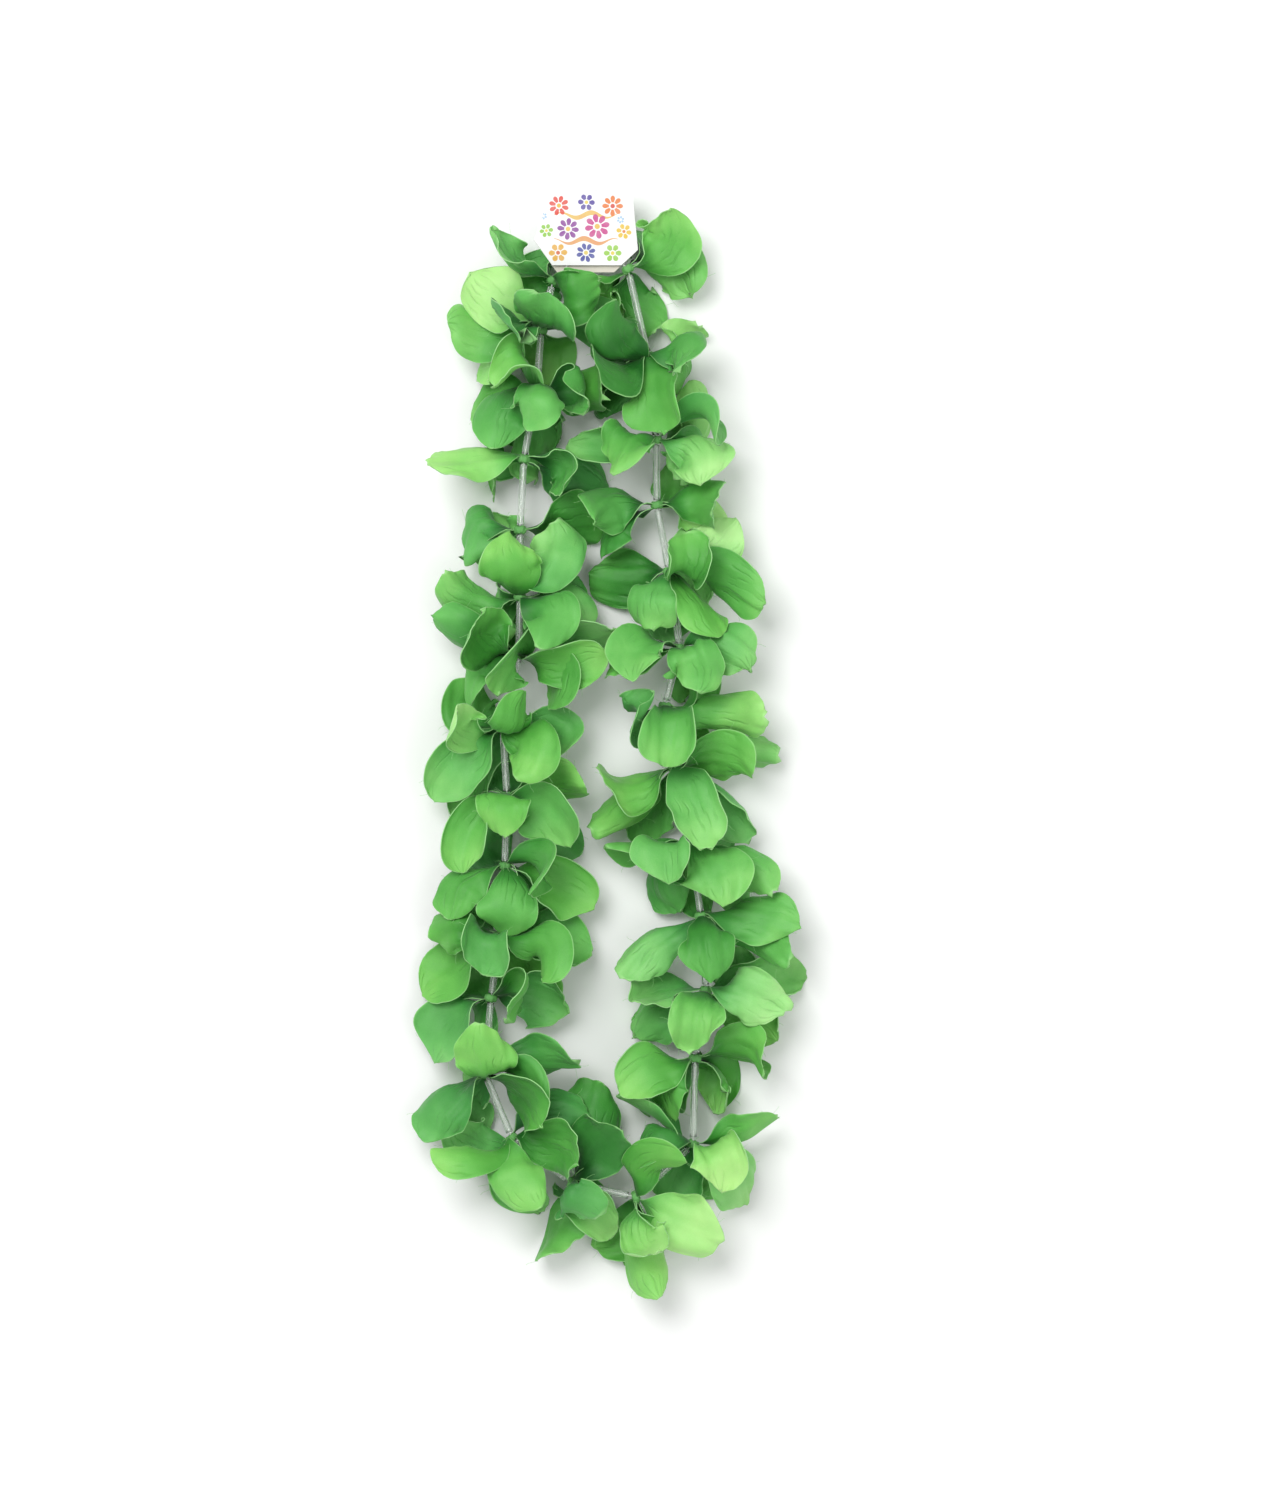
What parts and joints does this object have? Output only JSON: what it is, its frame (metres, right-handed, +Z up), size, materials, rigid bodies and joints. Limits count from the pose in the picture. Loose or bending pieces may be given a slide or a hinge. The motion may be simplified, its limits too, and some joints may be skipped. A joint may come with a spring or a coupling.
{
  "type": "flower lei",
  "caption": "Flower lei lying flat: a long loop of green fabric blooms on a thread, spaced by short clear tubes, with a folded header card at the top.",
  "frame": {"origin": "on the surface the lei lies on, under the middle of its bounding box", "axes": "+Z up, off the surface; +Y along the lei's length towards the header card; +X to the right when it is seen from above with the card at the top"},
  "size_m": [0.1916, 0.5285, 0.0587],
  "materials": {
    "green_fabric": "satin",
    "clear_tube": "gloss",
    "white_thread": "matt",
    "white_board": "satin"
  },
  "bodies": {
    "root": {"bloom_01": "green_fabric", "bloom_02": "green_fabric", "bloom_03": "green_fabric", "bloom_04": "green_fabric", "bloom_05": "green_fabric", "bloom_06": "green_fabric", "bloom_07": "green_fabric", "bloom_08": "green_fabric", "bloom_09": "green_fabric", "bloom_10": "green_fabric", "bloom_11": "green_fabric", "bloom_12": "green_fabric", "bloom_13": "green_fabric", "bloom_14": "green_fabric", "bloom_15": "green_fabric", "bloom_16": "green_fabric", "bloom_17": "green_fabric", "bloom_18": "green_fabric", "bloom_19": "green_fabric", "bloom_20": "green_fabric", "bloom_21": "green_fabric", "bloom_22": "green_fabric", "bloom_23": "green_fabric", "bloom_24": "green_fabric", "bloom_25": "green_fabric", "bloom_26": "green_fabric", "bloom_27": "green_fabric", "bloom_28": "green_fabric", "bloom_29": "green_fabric", "tube_01": "clear_tube", "tube_02": "clear_tube", "tube_03": "clear_tube", "tube_04": "clear_tube", "tube_05": "clear_tube", "tube_06": "clear_tube", "tube_07": "clear_tube", "tube_08": "clear_tube", "tube_09": "clear_tube", "tube_10": "clear_tube", "tube_11": "clear_tube", "tube_12": "clear_tube", "tube_13": "clear_tube", "tube_14": "clear_tube", "tube_15": "clear_tube", "tube_16": "clear_tube", "tube_17": "clear_tube", "tube_18": "clear_tube", "tube_19": "clear_tube", "tube_20": "clear_tube", "tube_21": "clear_tube", "tube_22": "clear_tube", "tube_23": "clear_tube", "tube_24": "clear_tube", "tube_25": "clear_tube", "tube_26": "clear_tube", "tube_27": "clear_tube", "tube_28": "clear_tube", "thread": "white_thread", "header_card": "white_board"}
  },
  "joints": []
}
